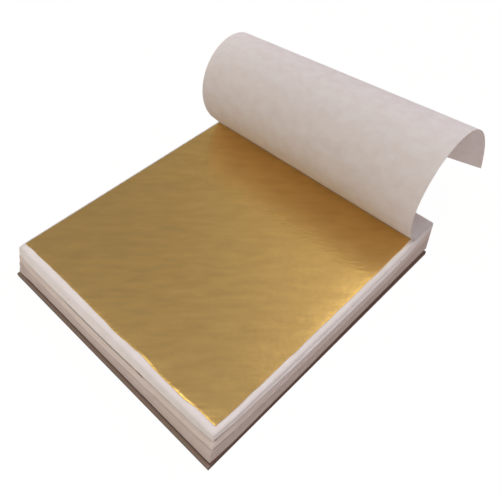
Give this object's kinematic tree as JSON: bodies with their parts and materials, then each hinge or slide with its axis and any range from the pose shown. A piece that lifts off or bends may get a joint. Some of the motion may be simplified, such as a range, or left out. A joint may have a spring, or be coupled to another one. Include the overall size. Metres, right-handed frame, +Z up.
{
  "type": "gold leaf booklet",
  "caption": "Booklet of square gold leaf between tissue pages, stapled to a brown back board, with the top tissue rolled back over the binding and the leaf under it free to slide out.",
  "frame": {"origin": "centre of the back board's underside", "axes": "+Z up out of the board, +X along the binding to the right, +Y from the fore-edge towards the binding"},
  "size_m": [0.1514, 0.2175, 0.0708],
  "materials": {
    "tissue": "matte",
    "gold_leaf": "satin",
    "board": "matte",
    "wire": "satin"
  },
  "bodies": {
    "pad": {"back_board": "board", "staple_left": "wire", "staple_right": "wire", "turned_page_strip": "tissue", "section_4_margins": "tissue", "section_1_tissues_a": "tissue", "section_1_tissues_b": "tissue", "section_1_tissues_c": "tissue", "section_1_tissues_d": "tissue", "section_1_tissues_e": "tissue", "section_1_leaves_a": "gold_leaf", "section_1_leaves_b": "gold_leaf", "section_1_leaves_c": "gold_leaf", "section_1_leaves_d": "gold_leaf", "section_1_leaves_e": "gold_leaf", "section_2_tissues_a": "tissue", "section_2_tissues_b": "tissue", "section_2_tissues_c": "tissue", "section_2_tissues_d": "tissue", "section_2_tissues_e": "tissue", "section_2_leaves_a": "gold_leaf", "section_2_leaves_b": "gold_leaf", "section_2_leaves_c": "gold_leaf", "section_2_leaves_d": "gold_leaf", "section_2_leaves_e": "gold_leaf", "section_3_tissues_a": "tissue", "section_3_tissues_b": "tissue", "section_3_tissues_c": "tissue", "section_3_tissues_d": "tissue", "section_3_tissues_e": "tissue", "section_3_leaves_a": "gold_leaf", "section_3_leaves_b": "gold_leaf", "section_3_leaves_c": "gold_leaf", "section_3_leaves_d": "gold_leaf", "section_3_leaves_e": "gold_leaf"},
    "top_section": {"section_4_tissues_a": "tissue", "section_4_tissues_b": "tissue", "section_4_tissues_c": "tissue", "section_4_tissues_d": "tissue", "section_4_tissues_e": "tissue", "section_4_leaves_a": "gold_leaf", "section_4_leaves_b": "gold_leaf", "section_4_leaves_c": "gold_leaf", "section_4_leaves_d": "gold_leaf", "section_4_leaves_e": "gold_leaf"},
    "loose_leaf": {"exposed_leaf": "gold_leaf"},
    "page_band_01": {"turned_page_band_01": "tissue"},
    "page_band_02": {"turned_page_band_02": "tissue"},
    "page_band_03": {"turned_page_band_03": "tissue"},
    "page_band_04": {"turned_page_band_04": "tissue"},
    "page_band_05": {"turned_page_band_05": "tissue"},
    "page_band_06": {"turned_page_band_06": "tissue"},
    "page_band_07": {"turned_page_band_07": "tissue"},
    "page_band_08": {"turned_page_band_08": "tissue"},
    "page_band_09": {"turned_page_band_09": "tissue"},
    "page_band_10": {"turned_page_band_10": "tissue"},
    "page_band_11": {"turned_page_band_11": "tissue"},
    "page_band_12": {"turned_page_band_12": "tissue"}
  },
  "joints": [
    {"name": "section_turn", "type": "hinge", "parent": "pad", "child": "top_section", "pos_m": [0.06935, 0.0715, 0.01617], "axis": [-0.9999, -0.0138, 0], "range_deg": [0, 12]},
    {"name": "page_turn", "type": "hinge", "parent": "top_section", "child": "page_band_01", "pos_m": [0.06935, 0.0715, 0.01617], "axis": [-0.9999, -0.0138, 0], "range_deg": [-51.9, 0]},
    {"name": "page_roll_02", "type": "hinge", "parent": "page_band_01", "child": "page_band_02", "pos_m": [0.06929, 0.06404, 0.02572], "axis": [-0.9998, -0.0194, 0.0072], "range_deg": [-21.58, 0.01]},
    {"name": "page_roll_03", "type": "hinge", "parent": "page_band_02", "child": "page_band_03", "pos_m": [0.06916, 0.06063, 0.03733], "axis": [-0.9997, -0.0203, 0.0104], "range_deg": [-22.64, 0.01]},
    {"name": "page_roll_04", "type": "hinge", "parent": "page_band_03", "child": "page_band_04", "pos_m": [0.06894, 0.06194, 0.04936], "axis": [-0.9998, -0.0206, 0.0079], "range_deg": [-23.07, 0.01]},
    {"name": "page_roll_05", "type": "hinge", "parent": "page_band_04", "child": "page_band_05", "pos_m": [0.06861, 0.06788, 0.05991], "axis": [-0.9997, -0.0247, 0.0007], "range_deg": [-22.82, 0.01]},
    {"name": "page_roll_06", "type": "hinge", "parent": "page_band_05", "child": "page_band_06", "pos_m": [0.06819, 0.07744, 0.06733], "axis": [-0.9993, -0.0359, -0.008], "range_deg": [-21.93, 0.01]},
    {"name": "page_roll_07", "type": "hinge", "parent": "page_band_06", "child": "page_band_07", "pos_m": [0.06773, 0.08908, 0.07063], "axis": [-0.9984, -0.0551, -0.0134], "range_deg": [-20.48, 0.01]},
    {"name": "page_roll_08", "type": "hinge", "parent": "page_band_07", "child": "page_band_08", "pos_m": [0.06731, 0.10114, 0.06964], "axis": [-0.9967, -0.0808, -0.0113], "range_deg": [-18.65, 0.01]},
    {"name": "page_roll_09", "type": "hinge", "parent": "page_band_08", "child": "page_band_09", "pos_m": [0.067, 0.11225, 0.06484], "axis": [-0.994, -0.1096, 0.0012], "range_deg": [-16.61, 0.01]},
    {"name": "page_roll_10", "type": "hinge", "parent": "page_band_09", "child": "page_band_10", "pos_m": [0.0669, 0.12154, 0.05707], "axis": [-0.9901, -0.1378, 0.0251], "range_deg": [-14.6, 0.01]},
    {"name": "page_roll_11", "type": "hinge", "parent": "page_band_10", "child": "page_band_11", "pos_m": [0.06705, 0.12859, 0.04722], "axis": [-0.985, -0.1619, 0.0598], "range_deg": [-12.84, 0.01]},
    {"name": "page_roll_12", "type": "hinge", "parent": "page_band_11", "child": "page_band_12", "pos_m": [0.0675, 0.13331, 0.03608], "axis": [-0.9783, -0.1793, 0.1036], "range_deg": [-11.51, 0.01]},
    {"name": "leaf_slide", "type": "slide", "parent": "top_section", "child": "loose_leaf", "axis": [0, -1, 0], "range_m": [0, 0.145]}
  ],
  "couplings": [
    {"joint": "page_roll_02", "follows": "page_turn", "ratio": 0.41557},
    {"joint": "page_roll_03", "follows": "page_turn", "ratio": 0.43595},
    {"joint": "page_roll_04", "follows": "page_turn", "ratio": 0.44423},
    {"joint": "page_roll_05", "follows": "page_turn", "ratio": 0.43951},
    {"joint": "page_roll_06", "follows": "page_turn", "ratio": 0.42231},
    {"joint": "page_roll_07", "follows": "page_turn", "ratio": 0.39449},
    {"joint": "page_roll_08", "follows": "page_turn", "ratio": 0.35906},
    {"joint": "page_roll_09", "follows": "page_turn", "ratio": 0.31987},
    {"joint": "page_roll_10", "follows": "page_turn", "ratio": 0.28116},
    {"joint": "page_roll_11", "follows": "page_turn", "ratio": 0.24714},
    {"joint": "page_roll_12", "follows": "page_turn", "ratio": 0.22148}
  ]
}
